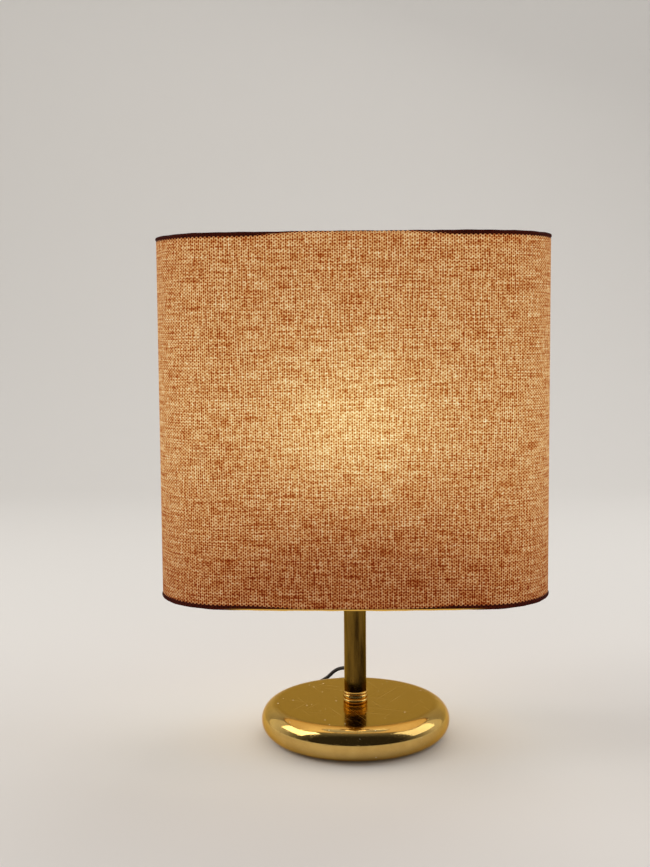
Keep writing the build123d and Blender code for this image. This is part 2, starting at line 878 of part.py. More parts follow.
nodes = {
    "base_shell": make_base_shell(),
    "base_weight": sleeve(
        weight_bore_radius, weight_radius, shell_inside_top - weight_thickness, shell_inside_top
    ),
    "base_cover": Pos(0, 0, cover_bottom + cover_thickness / 2)
    * Cylinder(rim_radius + cover_overlap, cover_thickness),
    "felt_pad": Pos(0, 0, cover_bottom / 2) * Cylinder(rim_radius - felt_gap, cover_bottom),
    "rod_washer": sleeve(rod_hole, washer_radius, washer_bottom, shell_inside_top),
    "rod_nut": hex_nut(nut_flats, rod_radius + fit_gap, rod_nut_bottom, nut_thickness),
    "threaded_rod": sleeve(rod_bore_radius, rod_radius, rod_bottom, rod_top),
    "column_collar": make_column_collar(),
    "column_tube": sleeve(tube_radius - tube_wall, tube_radius, base_top, column_top),
    "column_cap": make_column_cap(),
    "harp_saddle": make_harp_saddle(),
    "saddle_nut": hex_nut(nut_flats, rod_radius + fit_gap, saddle_top, saddle_nut_thickness),
    "harp_wire": make_harp_wire(),
    "harp_stud": make_harp_stud(),
    "harp_ferrule_left": make_harp_ferrule(-1),
    "harp_ferrule_right": make_harp_ferrule(1),
    "socket_cap": make_socket_cap(),
    "socket_shell": make_socket_shell(),
    "socket_liner": make_socket_liner(),
    "socket_body": make_socket_body(),
    "screw_shell": make_screw_shell(),
    "centre_contact": make_centre_contact(),
    "terminal_screws": make_terminal_screws(),
    "switch_stem": make_switch_stem(),
    "switch_knob": make_switch_knob(),
    "bulb_glass": make_bulb_glass(),
    "bulb_cap": make_bulb_cap(),
    "bulb_insulator": make_bulb_insulator(),
    "bulb_contact": make_bulb_contact(),
    "filament_mount": make_filament_mount(),
    "shade_fabric": shade_band(0, fabric_thickness, wall_bottom, wall_top),
    "shade_liner": shade_band(fabric_thickness + glue_gap, wall_thickness, wall_bottom, wall_top),
    "shade_hem_top": make_shade_hem(shade_top, -1),
    "shade_hem_bottom": make_shade_hem(shade_bottom, 1),
    "shade_seam": make_shade_seam(),
    "shade_ring_top": make_shade_ring(top_ring_height),
    "shade_ring_bottom": make_shade_ring(bottom_ring_height),
    "shade_spider": make_shade_spider(),
    "finial": make_finial(),
    "strain_relief": make_strain_relief(),
    "inner_lead": cord_tube("inner lead", cord_path("inner lead", inner_lead_points)),
    "cord_lead": cord_tube("cord lead", cord_path("cord lead", lead_points)),
    "cord_coil": cord_tube("cord coil", coil_route),
    "cord_tail": cord_tube("cord tail", cord_path("cord tail", tail_points)),
    "coil_tie": make_coil_tie(),
    "plug_body": make_plug_body(),
    "plug_blades": plug_blades(0),
}

print("cord coil least gap to itself", round(least_gap(coil_route), 2))
print("whole height", shade_top, "finial top", round(nodes["finial"].bounding_box().max.Z, 1))

os.makedirs("parts", exist_ok=True)
for name, solid in nodes.items():
    export_step(solid, os.path.join("parts", name + ".step"))
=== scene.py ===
import json
import math
import bpy
from mathutils import Matrix, Vector


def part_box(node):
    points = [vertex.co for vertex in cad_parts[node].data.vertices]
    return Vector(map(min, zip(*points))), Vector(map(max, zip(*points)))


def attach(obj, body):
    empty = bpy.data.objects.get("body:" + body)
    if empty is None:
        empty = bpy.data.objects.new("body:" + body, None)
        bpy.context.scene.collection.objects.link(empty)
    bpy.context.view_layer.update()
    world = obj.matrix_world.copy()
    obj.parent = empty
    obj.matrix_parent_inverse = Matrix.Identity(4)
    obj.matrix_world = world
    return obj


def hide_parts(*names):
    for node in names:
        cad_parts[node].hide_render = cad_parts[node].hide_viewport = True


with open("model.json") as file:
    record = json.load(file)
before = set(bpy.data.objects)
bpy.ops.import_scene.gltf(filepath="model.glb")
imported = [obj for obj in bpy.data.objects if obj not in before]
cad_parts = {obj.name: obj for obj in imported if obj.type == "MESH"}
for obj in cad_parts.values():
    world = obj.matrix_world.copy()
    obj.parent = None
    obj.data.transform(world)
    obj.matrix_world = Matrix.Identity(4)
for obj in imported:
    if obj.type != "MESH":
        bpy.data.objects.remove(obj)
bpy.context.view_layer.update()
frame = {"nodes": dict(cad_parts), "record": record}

nodes = frame["nodes"]
scene = bpy.context.scene
scene.view_settings.view_transform = "Standard"


# Camera at the height of the shade, turned a little left and tilted down
cameraSetup = {
    "place": (0.0026, -1.0596, 0.3673),
    "turnLeft": 0.0267,
    "tiltDown": 0.0875,
    "roll": 0.0079,
    "focalPixels": 1195.0,
    "picturePixels": (650, 867),
    "sensor": 36.0,
    "reach": 30.0,
}


def makeCamera(setup):
    turn, tilt, roll = setup["turnLeft"], setup["tiltDown"], setup["roll"]
    forward = Vector((-math.sin(turn) * math.cos(tilt), math.cos(turn) * math.cos(tilt), -math.sin(tilt)))
    level = forward.cross(Vector((0, 0, 1))).normalized()
    upright = level.cross(forward)
    right = level * math.cos(roll) - upright * math.sin(roll)
    up = right.cross(forward)
    data = bpy.data.cameras.new("camera")
    data.sensor_width = setup["sensor"]
    longSide = max(setup["picturePixels"])  # this side fills the sensor
    data.lens = setup["focalPixels"] * setup["sensor"] / longSide
    data.clip_end = setup["reach"]
    camera = bpy.data.objects.new("camera", data)
    turned = Matrix((right, up, -forward)).transposed().to_4x4()
    camera.matrix_world = Matrix.Translation(setup["place"]) @ turned
    scene.collection.objects.link(camera)
    scene.camera = camera


makeCamera(cameraSetup)
print("camera placed")


# Node helpers
def newTree(name):
    material = bpy.data.materials.new(name)
    material.use_nodes = True
    tree = material.node_tree
    shader = tree.nodes["Principled BSDF"]
    return material, tree, shader


def addNode(tree, kind, **settings):
    node = tree.nodes.new(kind)
    for key, value in settings.items():
        setattr(node, key, value)
    return node


def wire(tree, source, target):
    tree.links.new(source, target)


def fill(tree, socket, value):
    if hasattr(value, "is_output"):
        wire(tree, value, socket)
    else:
        socket.default_value = value


def calc(tree, operation, first, second=0.0, clamp=False):
    node = addNode(tree, "ShaderNodeMath", operation=operation, use_clamp=clamp)
    fill(tree, node.inputs[0], first)
    fill(tree, node.inputs[1], second)
    return node.outputs[0]


def mixColour(tree, share, first, second):
    node = addNode(tree, "ShaderNodeMix", data_type="RGBA")
    fill(tree, node.inputs[0], share)
    fill(tree, node.inputs[6], first)
    fill(tree, node.inputs[7], second)
    return node.outputs[2]


def remap(tree, value, low, high, toLow=0.0, toHigh=1.0, smooth=False):
    node = addNode(tree, "ShaderNodeMapRange", interpolation_type="SMOOTHSTEP" if smooth else "LINEAR")
    fill(tree, node.inputs["Value"], value)
    node.inputs["From Min"].default_value = low
    node.inputs["From Max"].default_value = high
    node.inputs["To Min"].default_value = toLow
    node.inputs["To Max"].default_value = toHigh
    return node.outputs["Result"]


def noise(tree, vector, scale, detail=2.0, roughness=0.5):
    node = addNode(tree, "ShaderNodeTexNoise")
    fill(tree, node.inputs["Vector"], vector)
    node.inputs["Scale"].default_value = scale
    node.inputs["Detail"].default_value = detail
    node.inputs["Roughness"].default_value = roughness
    return node.outputs["Fac"]


def stretched(tree, vector, scale, turn=(0, 0, 0)):
    node = addNode(tree, "ShaderNodeMapping")
    fill(tree, node.inputs["Vector"], vector)
    node.inputs["Scale"].default_value = scale
    node.inputs["Rotation"].default_value = turn
    return node.outputs["Vector"]


def axes(tree, vector):
    node = addNode(tree, "ShaderNodeSeparateXYZ")
    wire(tree, vector, node.inputs[0])
    return node.outputs


def objectPlace(tree):
    return addNode(tree, "ShaderNodeTexCoord").outputs["Object"]


def bump(tree, shader, height, distance, strength):
    node = addNode(tree, "ShaderNodeBump")
    node.inputs["Distance"].default_value = distance
    node.inputs["Strength"].default_value = strength
    fill(tree, node.inputs["Height"], height)
    wire(tree, node.outputs["Normal"], shader.inputs["Normal"])


def newGroup(name, inputs, outputs):
    group = bpy.data.node_groups.new(name, "ShaderNodeTree")
    for label, kind in inputs:
        group.interface.new_socket(label, in_out="INPUT", socket_type=kind)
    for label, kind in outputs:
        group.interface.new_socket(label, in_out="OUTPUT", socket_type=kind)
    return group, addNode(group, "NodeGroupInput"), addNode(group, "NodeGroupOutput")


def useGroup(tree, group, **values):
    node = addNode(tree, "ShaderNodeGroup", node_tree=group)
    for label, value in values.items():
        fill(tree, node.inputs[label], value)
    return node.outputs


# Light of the bulb through the shade: a spot in front of the bulb, dimmer to the rims, dark under the socket
glowSetup = {
    "bulbHeight": 0.282,
    "even": 0.268,
    "drop": 0.436,
    "spot": 0.208,
    "spotWidth": 0.0456,
    "spotHeight": 0.0482,
    "front": 0.0925,
    "ends": 0.452,
    "socketSlopes": (-0.265, 1.40),
    "socketShade": 0.21,
}


def makeGlowGroup(setup):
    group, _, out = newGroup("bulbGlow", [], [("Level", "NodeSocketFloat")])
    place = axes(group, objectPlace(group))
    beside = place["X"]
    below = calc(group, "SUBTRACT", setup["bulbHeight"], place["Z"])

    def square(value, size=1.0):
        part = calc(group, "DIVIDE", value, size)
        return calc(group, "MULTIPLY", part, part)

    away = calc(group, "ADD", square(beside, setup["spotWidth"]), square(below, setup["spotHeight"]))
    fading = calc(group, "EXPONENT", calc(group, "MULTIPLY", away, -0.5))  # bell curve
    spot = calc(group, "MULTIPLY", fading, setup["spot"])
    even = calc(group, "ADD", calc(group, "MULTIPLY", below, setup["drop"]), setup["even"])
    sideways = calc(group, "MULTIPLY", square(beside), setup["ends"])
    outward = calc(group, "SQRT", calc(group, "ADD", sideways, setup["front"] ** 2))
    slope = calc(group, "DIVIDE", below, outward)
    shaded = remap(group, slope, *setup["socketSlopes"], 1.0, setup["socketShade"], smooth=True)
    level = calc(group, "MULTIPLY", calc(group, "ADD", even, spot), shaded)
    wire(group, level, out.inputs["Level"])
    return group


# Colour of the light that comes through: deep red where it is weak, cream where it is strong.
# Red and blue: amount, power of the light around, power of the light at the thread itself
warmSetup = {
    "red": (1.19, 0.16, 0.41),
    "blue": (0.45, -0.4, 1.7),
    "swing": 0.372,
    "swingPower": 0.42,
    "darkest": 0.11,
    "brightest": 4.0,
    "least": 0.001,
}


def makeWarmGroup(setup):
    group, into, out = newGroup(
        "warmLight",
        [("Level", "NodeSocketFloat"), ("Thread", "NodeSocketFloat")],
        [("Light", "NodeSocketColor")],
    )
    level = calc(group, "MAXIMUM", into.outputs["Level"], setup["least"])
    swing = calc(group, "MULTIPLY", calc(group, "POWER", level, setup["swingPower"]), setup["swing"])
    local = calc(group, "ADD", level, calc(group, "MULTIPLY", swing, into.outputs["Thread"]))
    local = calc(group, "MAXIMUM", local, calc(group, "MULTIPLY", level, setup["darkest"]))
    local = calc(group, "MINIMUM", local, calc(group, "MULTIPLY", level, setup["brightest"]))

    def channel(amount, levelPower, localPower):
        around = calc(group, "POWER", level, levelPower)
        here = calc(group, "POWER", local, localPower)
        return calc(group, "MULTIPLY", calc(group, "MULTIPLY", around, here), amount)

    light = addNode(group, "ShaderNodeCombineColor")
    for socket, value in zip(light.inputs, (channel(*setup["red"]), local, channel(*setup["blue"]))):
        wire(group, value, socket)
    wire(group, light.outputs["Color"], out.inputs["Light"])
    return group


# Plain weave in metres along and across the cloth: rust dots in staggered rows, slubs and uneven threads
weaveSetup = {
    "warp": 0.001885,
    "weft": 0.00135,
    "dots": 1.15,
    "columns": 0.75,
    "waver": 0.00016,
    "waverSize": 0.006,
    "slubLength": 0.026,
    "slubHeight": 0.0012,
    "slub": 1.9,
    "streakWidth": 0.0018,
    "streakLength": 0.012,
    "streak": 1.5,
    "patchSize": 0.0023,
    "patch": 1.5,
}


def makeWeaveGroup(setup):
    group, into, out = newGroup(
        "plainWeave",
        [("Cloth", "NodeSocketVector")],
        [("Thread", "NodeSocketFloat"), ("Dots", "NodeSocketFloat"), ("Height", "NodeSocketFloat")],
    )
    cloth = into.outputs["Cloth"]
    place = axes(group, cloth)

    def uneven(vector, scale, amount):
        centred = calc(group, "SUBTRACT", noise(group, vector, scale, 1.0), 0.5)
        return calc(group, "MULTIPLY", centred, 2 * amount)

    shift = uneven(cloth, 1 / setup["waverSize"], setup["waver"])

    def ridge(axis, pitch):
        moved = calc(group, "ADD", place[axis], shift)
        return calc(group, "COSINE", calc(group, "MULTIPLY", moved, 2 * math.pi / pitch))

    dots = calc(group, "MULTIPLY", ridge("X", 2 * setup["warp"]), ridge("Y", 2 * setup["weft"]))
    columns = ridge("X", setup["warp"])
    lie = (1 / setup["slubLength"], 1 / setup["slubHeight"], 1)
    stand = (1 / setup["streakWidth"], 1 / setup["streakLength"], 1)
    slub = uneven(stretched(group, cloth, lie), 1.0, setup["slub"])
    streak = uneven(stretched(group, cloth, stand), 1.0, setup["streak"])
    patch = uneven(cloth, 1 / setup["patchSize"], setup["patch"])
    threads = calc(group, "ADD", slub, calc(group, "ADD", streak, patch))
    holes = calc(group, "MULTIPLY", dots, setup["dots"])
    holes = calc(group, "ADD", holes, calc(group, "MULTIPLY", columns, setup["columns"]))
    wire(group, calc(group, "SUBTRACT", threads, holes), out.inputs["Thread"])
    wire(group, dots, out.inputs["Dots"])
    wire(group, calc(group, "SUBTRACT", slub, dots), out.inputs["Height"])
    return group


# Painted shade of the cloth folded behind both rims, broad towards the ends of the shade, and a painted lit
# line along the lower edge in the middle
rimSetup = {
    "middle": 0.040,
    "ends": 0.092,
    "topWidths": (0.0009, 0.0041),
    "bottomWidths": (0.0020, 0.0044),
    "soft": 0.0014,
    "jag": 0.0007,
    "lineHeight": 0.0014,
    "lineSoft": 0.0003,
    "lineEnds": (0.082, 0.112),
}


def makeRimGroup(setup, top, bottom):
    group, into, out = newGroup(
        "rimFoldShade",
        [("Dots", "NodeSocketFloat")],
        [("FoldShade", "NodeSocketFloat"), ("LitEdge", "NodeSocketFloat")],
    )
    place = axes(group, objectPlace(group))
    beside = calc(group, "ABSOLUTE", place["X"])
    underTop = calc(group, "SUBTRACT", top, place["Z"])
    overBottom = calc(group, "SUBTRACT", place["Z"], bottom)
    jag = calc(group, "MULTIPLY", into.outputs["Dots"], setup["jag"])
    half = setup["soft"] / 2
    folds = []
    # painted shade where the fold lies behind each rim, wider towards the ends
    for gap, widths in ((underTop, setup["topWidths"]), (overBottom, setup["bottomWidths"])):
        width = remap(group, beside, setup["middle"], setup["ends"], *widths, smooth=True)
        inside = calc(group, "SUBTRACT", calc(group, "ADD", width, jag), gap)
        folds.append(remap(group, inside, -half, half, smooth=True))
    line, soft = setup["lineHeight"], setup["lineSoft"]
    # painted lit line along the lower edge, in the middle only
    edge = remap(group, overBottom, line - soft, line + soft, 1.0, 0.0)
    lit = remap(group, beside, *setup["lineEnds"], 1.0, 0.0, smooth=True)
    wire(group, calc(group, "MAXIMUM", *folds), out.inputs["FoldShade"])
    wire(group, calc(group, "MULTIPLY", edge, lit), out.inputs["LitEdge"])
    return group


# Wear on metal: dull patches, hairline scratches and specks of dust
wearSetup = {
    "patch": 26.0,
    "patchDetail": 6.0,
    "patchRoughness": 0.62,
    "patchRange": (0.38, 0.66),
    "hairs": (900.0, 14.0, 900.0),
    "hairTurns": (0.5, 1.9, 2.7),
    "hairRange": (0.66, 0.74),
    "speckCell": 230.0,
    "speckSize": 0.17,
    "speckRarity": 5.0,
}


def makeWearGroup(setup):
    group, into, out = newGroup(
        "brassWear",
        [("Place", "NodeSocketVector"), ("Patches", "NodeSocketVector")],
        [("Dull", "NodeSocketFloat"), ("Hair", "NodeSocketFloat"), ("Dust", "NodeSocketFloat")],
    )
    place = into.outputs["Place"]
    patches = noise(
        group, into.outputs["Patches"], setup["patch"], setup["patchDetail"], setup["patchRoughness"])
    dull = remap(group, patches, *setup["patchRange"], smooth=True)
    hairs = 0.0
    for turn in setup["hairTurns"]:
        turned = stretched(group, place, (1, 1, 1), (0, 0, turn))
        streaks = noise(group, stretched(group, turned, setup["hairs"]), 1.0, 1.0)
        hairs = calc(group, "ADD", remap(group, streaks, *setup["hairRange"]), hairs)
    cells = addNode(group, "ShaderNodeTexVoronoi", feature="F1")
    cells.inputs["Scale"].default_value = setup["speckCell"]
    wire(group, place, cells.inputs["Vector"])
    chance = addNode(group, "ShaderNodeSeparateColor")
    wire(group, cells.outputs["Color"], chance.inputs[0])
    rare = calc(group, "POWER", chance.outputs[0], setup["speckRarity"])
    size = calc(group, "MULTIPLY", rare, setup["speckSize"])
    wire(group, dull, out.inputs["Dull"])
    wire(group, calc(group, "MINIMUM", hairs, 1.0), out.inputs["Hair"])
    wire(group, calc(group, "LESS_THAN", cells.outputs["Distance"], size), out.inputs["Dust"])
    return group


glowGroup = makeGlowGroup(glowSetup)
warmGroup = makeWarmGroup(warmSetup)
weaveGroup = makeWeaveGroup(weaveSetup)
rimGroup = makeRimGroup(rimSetup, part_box("shade_hem_top")[1].z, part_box("shade_hem_bottom")[0].z)
wearGroup = makeWearGroup(wearSetup)
print("shared effects ready")


# Metal finishes: clean and dull colour, roughness, and how much wear, dust and scratches each shows.
# "patches" draws the dull patches out; the height given for the base is that of its flat top, which is
# painted darker and duller all over as a painted dark reflection
brassFinishes = {
    "base_brass": {
        "clean": (0.70, 0.47, 0.15), "dull": (0.36, 0.205, 0.048), "rough": 0.06,
        "wear": 0.35, "dust": 1.0, "scratch": 0.22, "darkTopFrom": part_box("base_shell")[1].z,
    },
    # The column's brass is a darker copy of the base's, a painted dark reflection, and its patches are drawn
    # out into vertical streaks of painted reflection as well as wear
    "column_brass": {
        "clean": (0.20, 0.112, 0.018), "dull": (0.018, 0.008, 0.002), "rough": 0.09,
        "wear": 0.95, "dust": 0.03, "scratch": 0.02, "patches": (3.4, 3.4, 0.30),
    },
    # The collar's brass is a brighter copy, a painted highlight on its beads
    "column_collar": {
        "clean": (0.74, 0.49, 0.15), "dull": (0.55, 0.35, 0.09), "rough": 0.12,
        "wear": 0.5, "dust": 0.2,
    },
    "harp_brass": {
        "clean": (0.54, 0.38, 0.12), "dull": (0.38, 0.26, 0.08), "rough": 0.26,
        "wear": 0.6, "dust": 0.2,
    },
    "socket_brass": {
        "clean": (0.56, 0.40, 0.13), "dull": (0.42, 0.29, 0.09), "rough": 0.24,
        "wear": 0.5, "dust": 0.2,
    },
    "finial_brass": {
        "clean": (0.50, 0.34, 0.09), "dull": (0.36, 0.24, 0.07), "rough": 0.16,
        "wear": 0.6, "dust": 0.4,
    },
    "contact_brass": {
        "clean": (0.66, 0.51, 0.24), "dull": (0.50, 0.38, 0.17), "rough": 0.30,
        "wear": 0.5, "dust": 0.1,
    },
    "frame_steel": {  # steel wire with a brass coat
        "clean": (0.52, 0.40, 0.18), "dull": (0.40, 0.29, 0.12), "rough": 0.32,
        "wear": 0.6, "dust": 0.2,
    },
}
steelFinishes = {
    "zinc_steel": {
        "clean": (0.56, 0.56, 0.55), "dull": (0.42, 0.42, 0.41), "rough": 0.34,
        "wear": 0.6, "dust": 0.1,
    },
}
marksSetup = {
    "dust": (0.90, 0.80, 0.60, 1),
    "scratch": (0.85, 0.62, 0.26, 1),
    "scratchShare": 0.1,
    "darkTopDepths": (0.0016, 0.0001),
    "darkTopShare": 0.8,
    "dullRough": 0.10,
    "hairRough": 0.14,
    "dustRough": 0.5,
    "depth": 0.0001,
    "strength": 0.15,
}
brassTint = (0.90, 0.70, 0.40, 1)  # brass keeps its colour at flat angles
steelTint = (1, 1, 1, 1)


def makeMetal(name, finish, tint):
    marks = marksSetup
    material, tree, shader = newTree(name)
    shader.inputs["Specular Tint"].default_value = tint
    place = objectPlace(tree)
    patches = stretched(tree, place, finish.get("patches", (1, 1, 1)))
    wear = useGroup(tree, wearGroup, Place=place, Patches=patches)
    dull = calc(tree, "MULTIPLY", wear["Dull"], finish["wear"])
    # painted dark reflection over the whole flat top
    if "darkTopFrom" in finish:
        low, high = [finish["darkTopFrom"] - depth for depth in marks["darkTopDepths"]]
        flat = remap(tree, axes(tree, place)["Z"], low, high, 0.0, marks["darkTopShare"])
        dull = calc(tree, "MAXIMUM", dull, flat)
    dust = calc(tree, "MULTIPLY", wear["Dust"], finish["dust"])
    hair = calc(tree, "MULTIPLY", wear["Hair"], finish.get("scratch", marks["scratchShare"]))
    metal = mixColour(tree, dull, (*finish["clean"], 1), (*finish["dull"], 1))
    metal = mixColour(tree, hair, metal, marks["scratch"])
    wire(tree, mixColour(tree, dust, metal, marks["dust"]), shader.inputs["Base Color"])
    wire(tree, calc(tree, "SUBTRACT", 1.0, dust), shader.inputs["Metallic"])
    rough = calc(tree, "MULTIPLY", dull, marks["dullRough"])
    rough = calc(tree, "ADD", rough, calc(tree, "MULTIPLY", wear["Hair"], marks["hairRough"]))
    rough = calc(tree, "ADD", rough, finish["rough"])
    rough = calc(tree, "ADD", rough, calc(tree, "MULTIPLY", dust, marks["dustRough"]), clamp=True)
    wire(tree, rough, shader.inputs["Roughness"])
    bump(tree, shader, calc(tree, "SUBTRACT", dust, wear["Hair"]), marks["depth"], marks["strength"])
    return material


# Plain finishes, all with the same fine grain
plainFinishes = {
    "iron": {"colour": (0.16, 0.16, 0.17), "metal": 1.0, "rough": 0.6},
    "felt": {"colour": (0.045, 0.06, 0.04), "rough": 0.95},
    "fibre_sleeve": {"colour": (0.52, 0.42, 0.27), "rough": 0.85},
    "phenolic": {"colour": (0.03, 0.022, 0.018), "rough": 0.4},
    "knob": {"colour": (0.035, 0.02, 0.014), "rough": 0.28},
    "bulb_cap": {"colour": (0.72, 0.70, 0.66), "metal": 1.0, "rough": 0.3},
    "bulb_insulator": {"colour": (0.015, 0.015, 0.018), "rough": 0.2},
    "solder": {"colour": (0.55, 0.55, 0.57), "metal": 1.0, "rough": 0.45},
    "relief_rubber": {"colour": (0.02, 0.017, 0.016), "rough": 0.6},
    "cord": {"colour": (0.022, 0.015, 0.011), "rough": 0.58},
    "tie": {"colour": (0.05, 0.05, 0.05), "rough": 0.5},
    "plug": {"colour": (0.028, 0.021, 0.018), "rough": 0.45},
}
grainSetup = {
    "scale": 700.0,
    "detail": 3.0,
    "range": (0.3, 0.7),
    "darker": 0.7,
    "roughSwing": 0.06,
    "depth": 0.0001,
    "strength": 0.2,
}


def makePlain(name, finish):
    material, tree, shader = newTree(name)
    shader.inputs["Metallic"].default_value = finish.get("metal", 0.0)
    grain = noise(tree, objectPlace(tree), grainSetup["scale"], grainSetup["detail"])
    darker = [grainSetup["darker"] * part for part in finish["colour"]]
    wire(tree, mixColour(tree, grain, (*finish["colour"], 1), (*darker, 1)), shader.inputs["Base Color"])
    smoothest = finish["rough"] - grainSetup["roughSwing"]
    roughest = finish["rough"] + grainSetup["roughSwing"]
    wire(tree, remap(tree, grain, *grainSetup["range"], smoothest, roughest), shader.inputs["Roughness"])
    bump(tree, shader, grain, grainSetup["depth"], grainSetup["strength"])
    return material


# Shade cloth: cream threads over rust ones, carried by the light inside
clothSetup = {
    "cream": (0.10, 0.040, 0.010),
    "rust": (0.040, 0.008, 0.0005),
    # dark colour of the painted shade under the rim folds
    "fold": (0.014, 0.004, 0.003),
    # colour of the painted lit line along the lower edge
    "edge": (0.60, 0.34, 0.06),
    "rough": 0.85,
    "shine": 0.06,
    "passes": 1.0,
    "depth": 0.0002,
    "strength": 0.5,
}
seamSetup = {**clothSetup, "passes": 0.8}  # two layers of cloth


def clothPlace(tree):
    return addNode(tree, "ShaderNodeUVMap", uv_map="cloth").outputs["UV"]


def seamPlace(tree):
    place = axes(tree, objectPlace(tree))
    flat = addNode(tree, "ShaderNodeCombineXYZ")
    wire(tree, place["X"], flat.inputs["X"])
    wire(tree, place["Z"], flat.inputs["Y"])
    return flat.outputs["Vector"]


def makeCloth(name, setup, lay):
    material, tree, shader = newTree(name)
    weave = useGroup(tree, weaveGroup, Cloth=lay(tree))
    rim = useGroup(tree, rimGroup, Dots=weave["Dots"])
    through = calc(tree, "MULTIPLY", calc(tree, "SUBTRACT", 1.0, rim["FoldShade"]), setup["passes"])
    level = calc(tree, "MULTIPLY", useGroup(tree, glowGroup)["Level"], through)
    light = useGroup(tree, warmGroup, Level=level, Thread=weave["Thread"])["Light"]
    share = remap(tree, weave["Thread"], -1.0, 1.0)
    threads = mixColour(tree, share, (*setup["rust"], 1), (*setup["cream"], 1))
    # the fold's painted shade darkens the cloth's own colour, and the painted lit lower edge goes into its
    # light
    wire(tree, mixColour(tree, rim["FoldShade"], threads, (*setup["fold"], 1)), shader.inputs["Base Color"])
    wire(tree, mixColour(tree, rim["LitEdge"], light, (*setup["edge"], 1)), shader.inputs["Emission Color"])
    shader.inputs["Emission Strength"].default_value = 1.0
    shader.inputs["Roughness"].default_value = setup["rough"]
    shader.inputs["Specular IOR Level"].default_value = setup["shine"]
    bump(tree, shader, weave["Height"], setup["depth"], setup["strength"])
    return material


# Inside of the shade, straight in the bulb's light
liningSetup = {
    "colour": (0.22, 0.18, 0.13, 1),
    "rough": 0.7,
    "dim": (0.74, 0.57, 0.35, 1),
    "bright": (0.94, 0.80, 0.58, 1),
    "levels": (0.05, 0.45),
}


def makeLining(setup):
    material, tree, shader = newTree("shade_lining")
    share = remap(tree, useGroup(tree, glowGroup)["Level"], *setup["levels"])
    wire(tree, mixColour(tree, share, setup["dim"], setup["bright"]), shader.inputs["Emission Color"])
    shader.inputs["Emission Strength"].default_value = 1.0
    shader.inputs["Base Color"].default_value = setup["colour"]
    shader.inputs["Roughness"].default_value = setup["rough"]
    return material


# Frosted bulb, brightest round the filament and warmer down the neck, and the mount inside it
bulbSetup = {
    "colour": (0.20, 0.17, 0.13, 1),
    "rough": 0.3,
    "neck": (0.85, 0.52, 0.22, 1),
    "globe": (1.0, 0.92, 0.72, 1),
    "heights": (0.246, 0.296),
}
mountSetup = {
    "colour": (0.85, 0.88, 0.90, 1),
    "rough": 0.1,
    "glow": (1.0, 0.7, 0.3, 1),
    "strength": 1.5,
}


def makeBulbGlass(setup):
    material, tree, shader = newTree("bulb_glass")
    share = remap(tree, axes(tree, objectPlace(tree))["Z"], *setup["heights"], smooth=True)
    wire(tree, mixColour(tree, share, setup["neck"], setup["globe"]), shader.inputs["Emission Color"])
    shader.inputs["Emission Strength"].default_value = 1.0
    shader.inputs["Base Color"].default_value = setup["colour"]
    shader.inputs["Roughness"].default_value = setup["rough"]
    return material


def makeBulbMount(setup):
    material, _, shader = newTree("bulb_mount")
    shader.inputs["Base Color"].default_value = setup["colour"]
    shader.inputs["Roughness"].default_value = setup["rough"]
    shader.inputs["Emission Color"].default_value = setup["glow"]
    shader.inputs["Emission Strength"].default_value = setup["strength"]
    return material


finishes = {name: makeMetal(name, finish, brassTint) for name, finish in brassFinishes.items()}
finishes.update({name: makeMetal(name, finish, steelTint) for name, finish in steelFinishes.items()})
finishes.update({name: makePlain(name, finish) for name, finish in plainFinishes.items()})
finishes["shade_weave"] = makeCloth("shade_weave", clothSetup, clothPlace)
finishes["shade_hem"] = makeCloth("shade_hem", clothSetup, clothPlace)
finishes["shade_seam"] = makeCloth("shade_seam", seamSetup, seamPlace)
finishes["shade_lining"] = makeLining(liningSetup)
finishes["bulb_glass"] = makeBulbGlass(bulbSetup)
finishes["bulb_mount"] = makeBulbMount(mountSetup)

for part in frame["record"]["subparts"]:  # a node's own finish goes before that of its slot
    for slot in nodes[part["node"]].material_slots:
        slot.material = finishes.get(part["node"], finishes[part["material_slot"]])
print("finishes on", len(nodes), "nodes")


def addPiece(name, vertices, faces, finish, sharpTurn=None):
    mesh = bpy.data.meshes.new(name)
    mesh.from_pydata(vertices, [], faces)
    mesh.polygons.foreach_set("use_smooth", [True] * len(mesh.polygons))
    if sharpTurn:
        mesh.set_sharp_from_angle(angle=sharpTurn)
    mesh.materials.append(finish)
    piece = bpy.data.objects.new(name, mesh)
    scene.collection.objects.link(piece)
    return piece


sharpEdge = 0.6  # folds and band edges that turn more than this stay crisp


# Shade outline, from the cloth's own box: bowed front and back, round corners, straight ends
shadeLow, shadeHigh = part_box("shade_fabric")
outlineSetup = {
    "halfWidth": shadeHigh.x,
    "halfDepth": shadeHigh.y,
    "bow": 1.4,
    "corner": 0.068,
    "bowSteps": 60,
    "cornerSteps": 40,
    "endSteps": 10,
}


